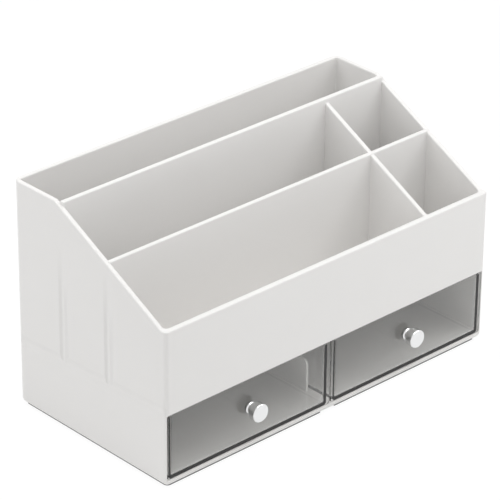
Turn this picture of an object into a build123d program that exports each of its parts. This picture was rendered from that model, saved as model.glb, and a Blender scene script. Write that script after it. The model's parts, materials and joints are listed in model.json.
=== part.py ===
"""Makeup organizer: five open compartments above two clear drawers.

X runs to the right, the front faces -Y and Z is up. The origin lies on the table under
the middle of the whole object, knobs included. Lengths are in millimetres.
"""
import os
from math import radians, tan

from build123d import *

os.makedirs("parts", exist_ok=True)

# Body: depths are measured from its front face, heights from its underside
body_width = 340.0
body_depth = 172.8
rear_height = 192.4
front_height = 131.4
slope_start = 6.4  # depth at which the sides begin to rise
slope_end = 124.0  # depth at which they turn level
slope_start_radius = 5.0
slope_end_radius = 3.0
wall = 4.2
front_wall = 5.2
front_upright_radius = 3.5
rear_upright_radius = 7.5
rim_radius = 1.2

# Dividers and the sloping shelf that is the compartments' floor
rear_divider_depth = 120.9  # to its rear face
rear_divider_thickness = 4.2
front_divider_depth = 68.9  # to its rear face
cross_divider_offset = 106.6  # from the middle to its right face
divider_thickness = 4.0
shelf_height = 66.1  # shelf's top at the front wall
shelf_angle = 2.75  # degrees down towards the rear
shelf_thickness = 3.0
front_corner_radius = 4.0
rear_corner_radius = 1.5
compartment_floor_radius = 0.8

# Drawer bay
bay_side_wall = 1.8
sill_height = 5.1
sill_land = 0.6  # upright strip of the sill above the body's rounded lower edge
lintel_height = 60.9  # lower edge of the front wall
bay_corner_radius = 4.0  # at the rear
lintel_corner_radius = 1.2
mouth_radius = 0.5  # rounding of the bay's front edges
floor_thickness = 2.8
underside_corner_radius = 5.0
rib_start = 26.8  # centre guide rib, behind the front face
rib_height = 28.2
rib_thickness = 2.0
rib_corner_radius = 5.0

# Drawers
panel_recess = 0.8
panel_thickness = 2.4
panel_corner_radius = 2.0
drawer_lift = 0.3  # running gap under the drawer
drawer_top_gap = 0.5
drawer_side_gap = 0.4
drawer_back_gap = 0.5
drawer_joint = 1.0  # gap between the two fronts
rib_gap = 2.4  # between the guide rib and each tray
panel_overhang = 1.8  # of each front beyond its tray at the outer side
tray_headroom = 5.0  # from the trays' rims to the shelf
drawer_wall = 2.2
drawer_floor = 2.3
drawer_corner_radius = 4.0
drawer_edge_radius = 0.6
drawer_floor_radius = 1.2

# Knobs and their screws
knob_height = 34.6  # above the body's underside
knob_projection = 11.8
knob_radius = 7.6
knob_head_thickness = 6.8
knob_face_radius = 1.5
knob_back_radius = 0.9
neck_radius = 4.1
neck_foot_radius = 4.9
neck_foot_length = 1.1
neck_blend_radius = 1.4
screw_radius = 2.0
screw_reach = 7.2  # beyond the panel's front
screw_tip_gap = 0.8
screw_tip_chamfer = 0.5
screw_head_radius = 3.8
screw_head_thickness = 2.4
screw_head_edge = 1.3
cross_slot_width = 1.1
cross_slot_length = 4.4
cross_slot_depth = 1.3
thread_clearance = 0.05
screw_hole_clearance = 0.2

# Foot strips, bonded into grooves under the body
foot_height = 2.1
foot_tuck = 0.7  # how far the strips reach out under the body's rounded lower edge
foot_width = 2.6
foot_corner_radius = 3.7
foot_gap = 15.6
foot_land = 3.1  # from the strips in to the hollowed underside
foot_edge_radius = 0.5
foot_groove_depth = 0.8
foot_groove_clearance = 0.1

tolerance = 0.01  # for telling edges apart by their place
side_names = {-1: "left", 1: "right"}

# Places that follow from the sizes above
knob_reach = knob_projection - panel_recess
front = -(body_depth - knob_reach) / 2
side_view = Plane(origin=(0, front, foot_height), x_dir=(0, 1, 0), z_dir=(1, 0, 0))
plan_view = Plane(origin=(0, front, foot_height), x_dir=(1, 0, 0), z_dir=(0, 0, 1))
front_view = Plane(origin=(0, front, foot_height), x_dir=(1, 0, 0), z_dir=(0, -1, 0))

bottom_radius = sill_height - sill_land
foot_inset = bottom_radius - foot_tuck
floor_land = foot_inset + foot_width + foot_land
compartment_half_width = body_width / 2 - wall
compartment_back = body_depth - wall
rear_divider_front = rear_divider_depth - rear_divider_thickness
front_divider_front = front_divider_depth - divider_thickness
cross_divider_left = cross_divider_offset - divider_thickness
above_rim = rear_height + wall

bay_half_width = body_width / 2 - bay_side_wall
panel_outer = bay_half_width - drawer_side_gap
panel_inner = drawer_joint / 2
panel_width = panel_outer - panel_inner
panel_middle = (panel_outer + panel_inner) / 2
tray_inner = rib_thickness / 2 + rib_gap
tray_outer = panel_outer - panel_overhang
tray_width = tray_outer - tray_inner
tray_middle = (tray_outer + tray_inner) / 2
drawer_base = sill_height + drawer_lift
drawer_back = body_depth - wall - drawer_back_gap
panel_back = panel_recess + panel_thickness
drawer_length = drawer_back - panel_back
panel_height = lintel_height - drawer_top_gap - drawer_base


def shelf_top(depth):
    """Height of the shelf's upper face at a depth behind the front face."""
    return shelf_height - (depth - front_wall) * tan(radians(shelf_angle))


def slope_height(depth):
    """Height of the sloping sides' upper face at a depth behind the front face."""
    rise = (rear_height - front_height) / (slope_end - slope_start)
    return front_height + (depth - slope_start) * rise


def tray_rim_height(depth):
    """Height of the drawer trays' rims: they run parallel to the shelf above them."""
    return shelf_top(depth) - shelf_thickness - tray_headroom


def compartment_space():
    """The space above the sloping shelf, all five compartments and the room of their dividers."""
    with BuildPart() as space:
        with BuildSketch(side_view):
            with BuildLine():
                Polyline(
                    (front_wall, shelf_top(front_wall)),
                    (compartment_back, shelf_top(compartment_back)),
                    (compartment_back, above_rim),
                    (front_wall, above_rim),
                    close=True,
                )
            make_face()
        extrude(amount=compartment_half_width, both=True)
        upright_edges = space.edges().filter_by(Axis.Z).group_by(Axis.Y)
        fillet(upright_edges[0], front_corner_radius)
        fillet(upright_edges[-1], rear_corner_radius)
    return space.part


def long_divider(near, far, height):
    """A divider across the whole width, with a level rounded top, sunk into both side walls."""
    with BuildPart() as divider:
        with BuildSketch(side_view):
            with BuildLine():
                Polyline(
                    (near, shelf_top(near) - shelf_thickness / 2),
                    (far, shelf_top(far) - shelf_thickness / 2),
                    (far, height),
                    (near, height),
                    close=True,
                )
            make_face()
        extrude(amount=compartment_half_width + rim_radius, both=True)
        fillet(divider.edges().filter_by(Axis.X).group_by(Axis.Z)[-1], rim_radius)
    return divider.part


def cross_divider():
    """The short divider from the front wall to the rear divider; its top follows the sides' slope."""
    near = front_wall - rim_radius
    with BuildPart() as divider:
        with BuildSketch(side_view.offset(cross_divider_left)):
            with BuildLine():
                Polyline(
                    (near, shelf_top(near) - shelf_thickness / 2),
                    (rear_divider_front, shelf_top(rear_divider_front) - shelf_thickness / 2),
                    (rear_divider_front, slope_height(rear_divider_front)),
                    (slope_start, front_height),
                    (near, front_height),
                    close=True,
                )
            make_face()
        extrude(amount=divider_thickness)
        top = divider.faces().filter_by(lambda face: face.normal_at().Z > 0.7)
        fillet(top.edges().filter_by(lambda edge: abs(edge.tangent_at(0.5).X) < 0.5), rim_radius)
    return divider.part


def strip_outline(side, clearance=0.0):
    """Plan of one foot strip: a U that is open towards the middle of the object."""
    outer_width = body_width - 2 * foot_inset
    outer_depth = body_depth - 2 * foot_inset
    with BuildSketch(plan_view) as outline:
        with Locations((0, body_depth / 2)):
            RectangleRounded(
                outer_width + 2 * clearance, outer_depth + 2 * clearance, foot_corner_radius + clearance
            )
            Rectangle(
                outer_width - 2 * (foot_width + clearance),
                outer_depth - 2 * (foot_width + clearance),
                mode=Mode.SUBTRACT,
            )
            Rectangle(foot_gap - 2 * clearance, body_depth, mode=Mode.SUBTRACT)
        with Locations((side * body_width / 4, body_depth / 2)):
            Rectangle(body_width / 2, body_depth, mode=Mode.INTERSECT)
    return outline.sketch


def bay_space():
    """The drawer bay: from the sill to under the sloping shelf, with a lower lintel in front."""
    ceiling_front = shelf_top(front_wall) - shelf_thickness
    ceiling_back = shelf_top(compartment_back) - shelf_thickness
    with BuildPart() as space:
        with BuildSketch(side_view):
            with BuildLine():
                Polyline(
                    (-front_wall, sill_height),
                    (compartment_back, sill_height),
                    (compartment_back, ceiling_back),
                    (front_wall, ceiling_front),
                    (front_wall, lintel_height),
                    (-front_wall, lintel_height),
                    close=True,
                )
            make_face()
        extrude(amount=bay_half_width, both=True)
        fillet(space.edges().filter_by(Axis.Z).group_by(Axis.Y)[-1], bay_corner_radius)
        lintel_level = foot_height + lintel_height
        lintel_edges = space.edges().filter_by(Axis.Y).filter_by_position(Axis.Z, lintel_level, lintel_level)
        fillet(lintel_edges, lintel_corner_radius)
    return space.part


def is_mouth_edge(edge):
    """True for an edge of the drawer bay's front opening."""
    place = edge.center()
    above_sill = place.Z > foot_height + sill_height - tolerance
    below_lintel = place.Z < foot_height + lintel_height + tolerance
    return place.Y < front + front_wall / 2 and above_sill and below_lintel


def build_body():
    """The single body moulding."""
    with BuildPart() as body:
        with BuildSketch(side_view) as profile:
            with BuildLine():
                Polyline(
                    (0, 0),
                    (body_depth, 0),
                    (body_depth, rear_height),
                    (slope_end, rear_height),
                    (slope_start, front_height),
                    (0, front_height),
                    close=True,
                )
            make_face()
            fillet(profile.vertices().sort_by_distance((slope_end, rear_height))[0], slope_end_radius)
            fillet(profile.vertices().sort_by_distance((slope_start, front_height))[0], slope_start_radius)
        extrude(amount=body_width / 2, both=True)
        upright_edges = body.edges().filter_by(Axis.Z).group_by(Axis.Y)
        fillet(upright_edges[0], front_upright_radius)
        fillet(upright_edges[-1], rear_upright_radius)
        fillet(body.faces().sort_by(Axis.Z)[0].edges(), bottom_radius)

        # open top: the rim is rounded on both sides before the dividers go in
        add(compartment_space(), mode=Mode.SUBTRACT)
        rim_level = foot_height + front_height - wall
        top_faces = body.faces().filter_by(lambda face: face.normal_at().Z > tolerance)
        rim_edges = top_faces.filter_by(lambda face: face.center().Z > rim_level).edges()
        fillet(rim_edges.filter_by(lambda edge: rim_edges.count(edge) == 1), rim_radius)

        # dividers, rounded along the shelf as the outer walls are
        front_divider_height = slope_height(front_divider_depth - divider_thickness / 2)
        add(long_divider(rear_divider_front, rear_divider_depth, rear_height))
        add(long_divider(front_divider_front, front_divider_depth, front_divider_height))
        add(cross_divider())
        shelf = body.faces().filter_by(Axis((0, 0, 0), (0, tan(radians(shelf_angle)), 1)))
        fillet(shelf.edges(), compartment_floor_radius)

        add(bay_space(), mode=Mode.SUBTRACT)
        fillet(body.edges().filter_by(is_mouth_edge), mouth_radius)

        # hollowed underside with its solid border, and the grooves for the foot strips
        with BuildSketch(plan_view):
            with Locations((0, body_depth / 2)):
                RectangleRounded(
                    body_width - 2 * floor_land,
                    body_depth - 2 * floor_land,
                    underside_corner_radius,
                )
        extrude(amount=sill_height - floor_thickness, mode=Mode.SUBTRACT)
        for side in (-1, 1):
            add(strip_outline(side, foot_groove_clearance))
            extrude(amount=foot_groove_depth, mode=Mode.SUBTRACT)

        # centre guide rib on the bay's floor
        with BuildSketch(side_view) as rib:
            with Locations((rib_start, sill_height)):
                Rectangle(compartment_back - rib_start, rib_height, align=(Align.MIN, Align.MIN))
            fillet(rib.vertices().group_by(Axis.Y)[-1].sort_by(Axis.X)[0], rib_corner_radius)
        extrude(amount=rib_thickness / 2, both=True)
    body.part.label = "body_shell"
    export_step(body.part, "parts/body_shell.step")


def drawer_space(side):
    """The space inside a drawer's tray, open upwards."""
    with BuildPart() as space:
        with BuildSketch(plan_view.offset(drawer_base + drawer_floor)):
            with Locations((side * tray_middle, panel_back)):
                RectangleRounded(
                    tray_width - 2 * drawer_wall,
                    drawer_length - drawer_wall,
                    drawer_corner_radius - drawer_wall,
                    align=(Align.CENTER, Align.MIN),
                )
        extrude(amount=panel_height)
        fillet(space.faces().sort_by(Axis.Z)[0].edges(), drawer_floor_radius)
    return space.part


def build_drawer(side):
    """One clear drawer: a tray behind a taller and wider front panel, moulded in one."""
    with BuildPart() as shell:
        with BuildSketch(side_view.offset(side * tray_middle)):
            with BuildLine():
                Polyline(
                    (panel_back, drawer_base),
                    (drawer_back, drawer_base),
                    (drawer_back, tray_rim_height(drawer_back)),
                    (panel_back, tray_rim_height(panel_back)),
                    close=True,
                )
            make_face()
        extrude(amount=tray_width / 2, both=True)
        fillet(shell.edges().filter_by(Axis.Z).group_by(Axis.Y)[-1], drawer_corner_radius)
        underside = shell.faces().sort_by(Axis.Z)[0].edges()
        fillet(underside - underside.sort_by(Axis.Y)[:1], panel_corner_radius)
        add(drawer_space(side), mode=Mode.SUBTRACT)
        tray_rim = shell.faces().sort_by(Axis.Z)[-1].edges()
        tray_front = front + panel_back + tolerance
        fillet(tray_rim.filter_by(lambda edge: edge.center().Y > tray_front), drawer_edge_radius)

        with BuildSketch(front_view.offset(-panel_back)):
            with Locations((side * panel_middle, drawer_base + panel_height / 2)):
                RectangleRounded(panel_width, panel_height, panel_corner_radius)
        extrude(amount=panel_thickness)
        fillet(shell.faces().sort_by(Axis.Y)[0].edges(), drawer_edge_radius)
        with BuildSketch(front_view.offset(-panel_recess)):
            with Locations((side * panel_middle, knob_height)):
                Circle(screw_radius + screw_hole_clearance)
        extrude(amount=-panel_thickness, mode=Mode.SUBTRACT)
    shell.part.label = f"drawer_{side_names[side]}"
    export_step(shell.part, f"parts/{shell.part.label}.step")


def knob_plane(side):
    """Plane through a knob's axis: its x points forwards from the panel's front face."""
    foot = (side * panel_middle, front + panel_recess, foot_height + knob_height)
    return Plane(origin=foot, x_dir=(0, -1, 0), z_dir=(1, 0, 0))


def build_knob(side):
    """Turned knob: a flat-faced head, a neck that flares at both ends and a blind hole for the screw."""
    half_section = knob_plane(side)
    axis = Axis(half_section.origin, half_section.x_dir)
    head_start = knob_projection - knob_head_thickness
    with BuildPart() as knob:
        with BuildSketch(half_section):
            with BuildLine():
                FilletPolyline(
                    (neck_foot_length, neck_radius),
                    (head_start, neck_radius),
                    (head_start, knob_radius),
                    (knob_projection, knob_radius),
                    (knob_projection, 0),
                    radius=(neck_blend_radius, knob_back_radius, knob_face_radius),
                )
                Polyline(
                    (knob_projection, 0),
                    (0, 0),
                    (0, neck_foot_radius),
                    (neck_foot_length, neck_radius),
                )
            make_face()
        revolve(axis=axis)
        with BuildSketch(half_section):
            Rectangle(
                screw_reach + screw_tip_gap,
                screw_radius + thread_clearance,
                align=(Align.MIN, Align.MIN),
            )
        revolve(axis=axis, mode=Mode.SUBTRACT)
    knob.part.label = f"knob_{side_names[side]}"
    export_step(knob.part, f"parts/{knob.part.label}.step")


def build_knob_screw(side):
    """Cross-slot screw that runs from inside the drawer through the front panel into the knob."""
    half_section = knob_plane(side)
    head_top = panel_thickness + screw_head_thickness
    with BuildPart() as screw:
        with BuildSketch(half_section):
            with BuildLine():
                FilletPolyline(
                    (-head_top, 0),
                    (-head_top, screw_head_radius),
                    (-panel_thickness, screw_head_radius),
                    radius=screw_head_edge,
                )
                Polyline(
                    (-panel_thickness, screw_head_radius),
                    (-panel_thickness, screw_radius),
                    (screw_reach - screw_tip_chamfer, screw_radius),
                    (screw_reach, screw_radius - screw_tip_chamfer),
                    (screw_reach, 0),
                    (-head_top, 0),
                )
            make_face()
        revolve(axis=Axis(half_section.origin, half_section.x_dir))
        with BuildSketch(front_view.offset(-panel_recess - head_top)):
            with Locations((side * panel_middle, knob_height)):
                Rectangle(cross_slot_length, cross_slot_width)
                Rectangle(cross_slot_width, cross_slot_length)
        extrude(amount=cross_slot_depth, mode=Mode.SUBTRACT)
    screw.part.label = f"knob_screw_{side_names[side]}"
    export_step(screw.part, f"parts/{screw.part.label}.step")


def build_foot_strip(side):
    """One non-slip foot strip, bonded into its groove."""
    with BuildPart() as strip:
        for height in (foot_groove_depth, -foot_height):
            add(strip_outline(side))
            extrude(amount=height)
        fillet(strip.faces().sort_by(Axis.Z)[0].edges(), foot_edge_radius)
    strip.part.label = f"foot_strip_{side_names[side]}"
    export_step(strip.part, f"parts/{strip.part.label}.step")


build_body()
for side in side_names:
    build_drawer(side)
    build_knob(side)
    build_knob_screw(side)
    build_foot_strip(side)
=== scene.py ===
"""Makeup organizer: finishes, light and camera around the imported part, in metres."""
import json
from math import pi, radians, tan

import bpy
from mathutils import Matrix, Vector


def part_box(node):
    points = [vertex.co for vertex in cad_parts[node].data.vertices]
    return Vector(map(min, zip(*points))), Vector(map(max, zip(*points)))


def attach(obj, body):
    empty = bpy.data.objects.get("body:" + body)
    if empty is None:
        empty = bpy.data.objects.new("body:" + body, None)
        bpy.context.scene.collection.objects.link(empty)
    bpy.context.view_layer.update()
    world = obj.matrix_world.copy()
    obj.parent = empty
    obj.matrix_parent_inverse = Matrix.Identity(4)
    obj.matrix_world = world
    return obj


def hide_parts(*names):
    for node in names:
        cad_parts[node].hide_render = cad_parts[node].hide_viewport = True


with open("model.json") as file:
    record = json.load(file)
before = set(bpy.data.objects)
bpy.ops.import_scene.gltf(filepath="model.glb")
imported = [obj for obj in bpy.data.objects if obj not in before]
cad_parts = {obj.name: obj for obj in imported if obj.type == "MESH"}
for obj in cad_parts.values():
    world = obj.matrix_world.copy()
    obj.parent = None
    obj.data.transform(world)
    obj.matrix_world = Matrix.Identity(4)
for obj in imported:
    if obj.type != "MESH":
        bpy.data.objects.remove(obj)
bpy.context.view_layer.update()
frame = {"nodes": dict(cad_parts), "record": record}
bpy.ops.object.select_all(action="DESELECT")

# Camera, as the photograph sees the object
camera_place = (-1.42022, -1.49772, 1.20067)
camera_turn = (62.1388, -0.4834, -42.9937)  # degrees about X, Y and Z
camera_lens = 216.769  # millimetres, on a picture of picture_width
picture_width = 36
camera_reach = 100  # metres

# Light and floor
world_light = 0.6
world_seen = 1.0  # strength where the surroundings show, which is white
floor_size = 8
floor_tone = 0.9
floor_roughness = 0.7
floor_seen_white = 1.06
floor_seen_share = 0.86  # of the picture's white in the floor where it shows; the rest keeps the shadow

# Joined copies of the part's nodes
merge_distance = 0.00001
rounded_edge_angle = radians(50)

# Handling marks
smear_scale = 22.0
wave_scale = 60.0
wave_height = 0.0006
scratch_size = (0.05, 0.03, 0.0005)
scratch_turn = (0.7, 0.6, 0.3)
scratch_threshold = 0.735

# Sink lines on the side walls, opposite the dividers and the sloping shelf
body_low, body_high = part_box("body_shell")
body_front = body_low.y
side_face = body_high.x
side_face_margin = 0.0005  # how far inside the widest point still counts as the side wall
rear_line_place = body_front + 0.1163  # a little in front of the dividers' middles, as in the photograph
front_line_place = body_front + 0.0644
shelf_front_height = 0.0667  # middle of the shelf's thickness at the front wall
shelf_fall = tan(radians(2.75))
sink_half_width = 0.0055
sink_height = 0.0015  # of a dip whose depth is 1
sink_full_height = 0.045  # above the shelf, where the upright lines begin to fade
sink_end_height = 0.105
upright_line_depth = 1.0
upright_front_side = 0.8  # steepness of an upright line's front side beside its rear side
shelf_line_depth = 0.5

# Materials
plastic_ior = 1.5
rubber_grain_scale = 1800.0
rubber_tone_scale = 90.0
rubber_grain_height = 0.00015
rubber_roughness = 0.55
rubber_roughness_spread = 0.2
mix_sockets = {"FLOAT": (2, 3, 0), "RGBA": (6, 7, 2)}  # a Mix node's two inputs and its output, by kind


def add_node(tree, kind, **settings):
    """A new node in a tree, with its settings."""
    node = tree.nodes.new(kind)
    for name, value in settings.items():
        setattr(node, name, value)
    return node


def math_node(tree, operation, first, second=None, third=None, clamp=False):
    """A math node's output; each input is a socket or a number."""
    node = add_node(tree, "ShaderNodeMath", operation=operation, use_clamp=clamp)
    for place, value in enumerate((first, second, third)):
        if isinstance(value, bpy.types.NodeSocket):
            tree.links.new(value, node.inputs[place])
        elif value is not None:
            node.inputs[place].default_value = value
    return node.outputs[0]


def mix_node(tree, kind, factor, first, second):
    """A Mix node's output, between two numbers or two colours."""
    node = add_node(tree, "ShaderNodeMix", data_type=kind)
    first_place, second_place, result_place = mix_sockets[kind]
    tree.links.new(factor, node.inputs["Factor"])
    node.inputs[first_place].default_value = first
    node.inputs[second_place].default_value = second
    return node.outputs[result_place]


def mix_shaders(tree, factor, first, second):
    """A Mix Shader's output: first at factor 0, second at 1."""
    node = add_node(tree, "ShaderNodeMixShader")
    for place, value in enumerate((factor, first, second)):
        tree.links.new(value, node.inputs[place])
    return node.outputs["Shader"]


def noise(tree, vector, scale, detail=2.0, roughness=0.5):
    """A noise texture's value."""
    node = add_node(tree, "ShaderNodeTexNoise")
    tree.links.new(vector, node.inputs["Vector"])
    node.inputs["Scale"].default_value = scale
    node.inputs["Detail"].default_value = detail
    node.inputs["Roughness"].default_value = roughness
    return node.outputs["Fac"]


def bump_node(tree, height, distance):
    """A Bump node that turns a height into a normal."""
    node = add_node(tree, "ShaderNodeBump")
    node.inputs["Distance"].default_value = distance
    tree.links.new(height, node.inputs["Height"])
    return node


def new_group(name, inputs, outputs):
    """An empty shader group with its input and output nodes."""
    group = bpy.data.node_groups.new(name, "ShaderNodeTree")
    for label, value in inputs.items():
        socket = group.interface.new_socket(label, in_out="INPUT", socket_type="NodeSocketFloat")
        socket.default_value = value
    for label, kind in outputs.items():
        group.interface.new_socket(label, in_out="OUTPUT", socket_type=kind)
    return group, add_node(group, "NodeGroupInput"), add_node(group, "NodeGroupOutput")


def build_handling_marks():
    """Handled gloss: smears and hairline scratches in the roughness, a slight wave in the surface."""
    group, given, result = new_group(
        "handling_marks",
        {"Roughness": 0.2, "Smears": 0.04, "Scratches": 0.1, "Waviness": 0.1},
        {"Roughness": "NodeSocketFloat", "Tone": "NodeSocketFloat", "Normal": "NodeSocketVector"},
    )
    place = add_node(group, "ShaderNodeTexCoord").outputs["Object"]
    smears = noise(group, place, smear_scale, detail=4.0, roughness=0.6)
    stretched = add_node(group, "ShaderNodeMapping", vector_type="TEXTURE")
    stretched.inputs["Scale"].default_value = scratch_size
    stretched.inputs["Rotation"].default_value = scratch_turn
    group.links.new(place, stretched.inputs["Vector"])
    hairs = noise(group, stretched.outputs["Vector"], 1.0, detail=1.0)
    scratches = math_node(group, "GREATER_THAN", hairs, scratch_threshold)
    centred = math_node(group, "SUBTRACT", smears, 0.5)
    rough = math_node(group, "MULTIPLY_ADD", centred, given.outputs["Smears"], given.outputs["Roughness"])
    rough = math_node(group, "MULTIPLY_ADD", scratches, given.outputs["Scratches"], rough, clamp=True)
    waves = bump_node(group, noise(group, place, wave_scale), wave_height)
    group.links.new(given.outputs["Waviness"], waves.inputs["Strength"])
    group.links.new(rough, result.inputs["Roughness"])
    group.links.new(smears, result.inputs["Tone"])
    group.links.new(waves.outputs["Normal"], result.inputs["Normal"])
    return group


def build_sink_marks():
    """Shallow dips on the outer side walls, opposite the dividers and the sloping shelf."""
    group, given, result = new_group(
        "sink_marks", {"Half width": sink_half_width}, {"Height": "NodeSocketFloat"}
    )
    place = add_node(group, "ShaderNodeSeparateXYZ")
    group.links.new(add_node(group, "ShaderNodeTexCoord").outputs["Object"], place.inputs[0])
    x, y, z = place.outputs

    def fall(value, start, end, top):
        """From top to 0 while the value goes from start to end."""
        ramp = add_node(group, "ShaderNodeMapRange", interpolation_type="SMOOTHSTEP")
        for label, limit in (("Value", value), ("From Min", start), ("From Max", end)):
            if isinstance(limit, bpy.types.NodeSocket):
                group.links.new(limit, ramp.inputs[label])
            else:
                ramp.inputs[label].default_value = limit
        ramp.inputs["To Min"].default_value = top
        ramp.inputs["To Max"].default_value = 0.0
        return ramp.outputs["Result"]

    def dip(distance, depth, negative_side=1.0):
        """A dip along a line; on the side of negative distances it is negative_side times as steep."""
        mirrored = math_node(group, "MULTIPLY", distance, -negative_side)
        away = math_node(group, "MAXIMUM", distance, mirrored)
        return fall(away, 0.0, given.outputs["Half width"], -depth)

    def upright_line(line_place):
        """The dip of one divider."""
        return dip(math_node(group, "SUBTRACT", y, line_place), upright_line_depth, upright_front_side)

    behind_front = math_node(group, "SUBTRACT", y, body_front)
    shelf_middle = math_node(group, "MULTIPLY_ADD", behind_front, -shelf_fall, shelf_front_height)
    above = math_node(group, "SUBTRACT", z, shelf_middle)
    over_shelf = math_node(group, "GREATER_THAN", above, 0.0)
    faded = math_node(group, "MULTIPLY", fall(above, sink_full_height, sink_end_height, 1.0), over_shelf)
    on_side = math_node(group, "GREATER_THAN", math_node(group, "ABSOLUTE", x), side_face - side_face_margin)
    both = math_node(group, "MINIMUM", upright_line(rear_line_place), upright_line(front_line_place))
    upright = math_node(group, "MULTIPLY", both, faded)
    lines = math_node(group, "MINIMUM", upright, dip(above, shelf_line_depth))
    group.links.new(math_node(group, "MULTIPLY", lines, on_side), result.inputs["Height"])
    return group


def new_material(name):
    """A new material, after its node tree and its Principled shader."""
    material = bpy.data.materials.new(name)
    material.use_nodes = True
    return material.node_tree, material.node_tree.nodes["Principled BSDF"], material


def marked_material(name, marks, darker, lighter, **amounts):
    """A material with a colour between two near tones, and with the handling marks at the given amounts."""
    tree, shader, material = new_material(name)
    wear = add_node(tree, "ShaderNodeGroup", node_tree=marks)
    for label, value in amounts.items():
        wear.inputs[label].default_value = value
    colour = mix_node(tree, "RGBA", wear.outputs["Tone"], (*darker, 1), (*lighter, 1))
    tree.links.new(colour, shader.inputs["Base Color"])
    tree.links.new(wear.outputs["Roughness"], shader.inputs["Roughness"])
    tree.links.new(wear.outputs["Normal"], shader.inputs["Normal"])
    return tree, shader, material, wear


def body_plastic(marks, sinks):
    """Glossy warm white moulding with faint sink lines."""
    # Its roughness stays above about 0.27, because smears that cross that value leave spots in the render.
    tree, shader, material, wear = marked_material(
        "body_plastic", marks, darker=(0.872, 0.861, 0.846), lighter=(0.890, 0.880, 0.866),
        Roughness=0.3, Smears=0.08, Scratches=0.02, Waviness=0.05,
    )
    dips = add_node(tree, "ShaderNodeGroup", node_tree=sinks)
    bump = bump_node(tree, dips.outputs["Height"], sink_height)
    tree.links.new(wear.outputs["Normal"], bump.inputs["Normal"])
    tree.links.new(bump.outputs["Normal"], shader.inputs["Normal"])
    shader.inputs["IOR"].default_value = plastic_ior
    return material


def let_light_in(tree, shader, tint):
    """Lamps and soft light pass a clear wall straight, so that what stands behind it is lit."""
    surface = shader.outputs["BSDF"]
    path = add_node(tree, "ShaderNodeLightPath")
    for ray in ("Is Shadow Ray", "Is Diffuse Ray"):
        straight = add_node(tree, "ShaderNodeBsdfTransparent")
        straight.inputs["Color"].default_value = (*tint, 1)
        surface = mix_shaders(tree, path.outputs[ray], surface, straight.outputs["BSDF"])
    tree.links.new(surface, tree.nodes["Material Output"].inputs["Surface"])


def clear_plastic(marks):
    """Clear, faintly smoky polished plastic."""
    tree, shader, material, _ = marked_material(
        "clear_plastic", marks, darker=(0.988, 0.989, 0.988), lighter=(0.996, 0.996, 0.995),
        Roughness=0.015, Smears=0.02, Scratches=0.05, Waviness=0.06,
    )
    shader.inputs["IOR"].default_value = plastic_ior
    shader.inputs["Transmission Weight"].default_value = 1.0
    let_light_in(tree, shader, tint=(0.93, 0.93, 0.925))
    return material


def knob_chrome(marks):
    """Polished chrome plating."""
    _, shader, material, _ = marked_material(
        "knob_chrome", marks, darker=(0.78, 0.785, 0.79), lighter=(0.84, 0.84, 0.84),
        Roughness=0.09, Smears=0.06, Scratches=0.05, Waviness=0.12,
    )
    shader.inputs["Metallic"].default_value = 1.0
    return material


def screw_steel(marks):
    """Zinc-plated steel."""
    _, shader, material, _ = marked_material(
        "screw_steel", marks, darker=(0.52, 0.53, 0.55), lighter=(0.66, 0.66, 0.65),
        Roughness=0.36, Smears=0.2, Scratches=0.1, Waviness=0.4,
    )
    shader.inputs["Metallic"].default_value = 1.0
    return material


def foot_rubber():
    """Matt dark grey rubber with a fine grain."""
    tree, shader, material = new_material("foot_rubber")
    place = add_node(tree, "ShaderNodeTexCoord").outputs["Object"]
    grain = noise(tree, place, rubber_grain_scale, detail=3.0, roughness=0.6)
    tone = noise(tree, place, rubber_tone_scale, detail=3.0)
    colour = mix_node(tree, "RGBA", tone, (0.09, 0.09, 0.091, 1), (0.13, 0.129, 0.127, 1))
    rough = math_node(tree, "MULTIPLY_ADD", grain, rubber_roughness_spread, rubber_roughness)
    bump = bump_node(tree, grain, rubber_grain_height)
    tree.links.new(colour, shader.inputs["Base Color"])
    tree.links.new(rough, shader.inputs["Roughness"])
    tree.links.new(bump.outputs["Normal"], shader.inputs["Normal"])
    return material


def make_finishes():
    """The material of each slot in the record."""
    marks = build_handling_marks()
    return {
        "body_plastic": body_plastic(marks, build_sink_marks()),
        "clear_plastic": clear_plastic(marks),
        "knob_chrome": knob_chrome(marks),
        "screw_steel": screw_steel(marks),
        "foot_rubber": foot_rubber(),
    }


def smooth_copy(node_name, body, finish):
    """A copy of a part's node, its triangles joined, with smooth rounded edges and flat faces kept flat."""
    piece = bpy.data.objects.new(f"{node_name}_finished", frame["nodes"][node_name].data.copy())
    bpy.context.scene.collection.objects.link(piece)
    bpy.ops.object.select_all(action="DESELECT")
    piece.select_set(True)
    bpy.context.view_layer.objects.active = piece
    bpy.ops.object.mode_set(mode="EDIT")
    bpy.ops.mesh.select_all(action="SELECT")
    bpy.ops.mesh.customdata_custom_splitnormals_clear()
    bpy.ops.mesh.remove_doubles(threshold=merge_distance)
    bpy.ops.object.mode_set(mode="OBJECT")
    bpy.ops.object.shade_smooth_by_angle(angle=rounded_edge_angle)
    weighting = piece.modifiers.new("flat faces first", "WEIGHTED_NORMAL")
    weighting.keep_sharp = True
    bpy.ops.object.modifier_apply(modifier=weighting.name)
    piece.select_set(False)
    piece.data.materials.clear()
    piece.data.materials.append(finish)
    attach(piece, body)
    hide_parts(node_name)


def dress_part():
    """Every node gets its joined copy, on the node's own body and with its slot's material."""
    finishes = make_finishes()
    bodies = frame["record"]["behaviour"]["bodies"]
    body_of = {node: body for body, nodes in bodies.items() for node in nodes}
    for row in frame["record"]["subparts"]:
        node, slot = row["node"], row["material_slot"]
        smooth_copy(node, body_of[node], finishes[slot])


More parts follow.
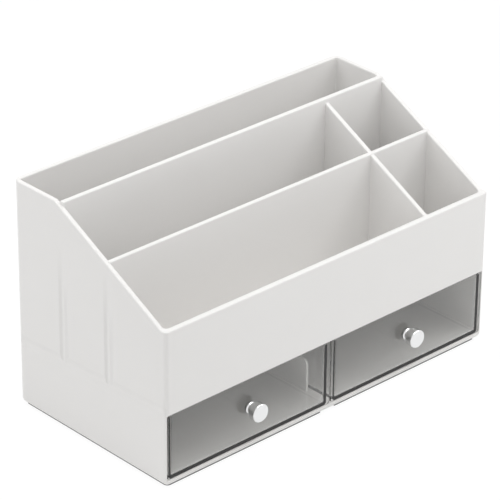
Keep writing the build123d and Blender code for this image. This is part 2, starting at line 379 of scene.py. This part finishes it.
def seen_rays(tree):
    """1 on rays that show the surroundings: straight, in a reflection or through the clear plastic."""
    path = add_node(tree, "ShaderNodeLightPath")
    seen = math_node(tree, "MAXIMUM", path.outputs["Is Camera Ray"], path.outputs["Is Glossy Ray"])
    return math_node(tree, "MAXIMUM", seen, path.outputs["Is Transmission Ray"])


def add_floor():
    """The picture's white, with the object's shadow kept faintly."""
    bpy.ops.mesh.primitive_plane_add(size=floor_size, location=(0, 0, 0))
    floor = bpy.context.object
    floor.name = "floor"
    tree, shader, material = new_material("floor_white")
    shader.inputs["Base Color"].default_value = (floor_tone, floor_tone, floor_tone, 1)
    shader.inputs["Roughness"].default_value = floor_roughness
    shader.inputs["Specular IOR Level"].default_value = 0.0
    white = add_node(tree, "ShaderNodeEmission")
    white.inputs["Strength"].default_value = floor_seen_white
    share = math_node(tree, "MULTIPLY", seen_rays(tree), floor_seen_share)
    surface = mix_shaders(tree, share, shader.outputs["BSDF"], white.outputs["Emission"])
    tree.links.new(surface, tree.nodes["Material Output"].inputs["Surface"])
    floor.data.materials.append(material)


def add_world():
    """White surroundings that show at full strength and light the object at world_light."""
    world = bpy.data.worlds.new("studio")
    bpy.context.scene.world = world
    world.use_nodes = True
    tree = world.node_tree
    background = tree.nodes["Background"]
    background.inputs["Color"].default_value = (1, 1, 1, 1)
    strength = mix_node(tree, "FLOAT", seen_rays(tree), world_light, world_seen)
    tree.links.new(strength, background.inputs["Strength"])


def add_softbox(name, place, aim, size, brightness):
    """A square lamp that faces the object; brightness is what a picture of it would show."""
    bpy.ops.object.light_add(type="AREA", location=place)
    lamp = bpy.context.object
    lamp.name = name
    lamp.rotation_euler = (Vector(aim) - Vector(place)).to_track_quat("-Z", "Y").to_euler()
    lamp.data.shape = "SQUARE"
    lamp.data.size = size
    lamp.data.energy = brightness * size * size * pi


def add_camera():
    """The photograph's view of the object, without tone changes."""
    bpy.ops.object.camera_add(location=camera_place, rotation=[radians(angle) for angle in camera_turn])
    camera = bpy.context.object
    camera.data.lens = camera_lens
    camera.data.sensor_width = picture_width
    camera.data.clip_end = camera_reach
    bpy.context.scene.camera = camera
    bpy.context.scene.view_settings.view_transform = "Standard"


dress_part()
add_floor()
add_world()
add_softbox("top_softbox", place=(0.0, -0.2, 1.2), aim=(0, 0, 0.1), size=0.9, brightness=1.85)
add_softbox("right_softbox", place=(0.62, -0.45, 0.65), aim=(0.1, -0.05, 0.1), size=0.43, brightness=2.15)
add_softbox("left_softbox", place=(-0.6, 0.4, 0.75), aim=(-0.1, 0, 0.1), size=0.5, brightness=1.75)
add_camera()
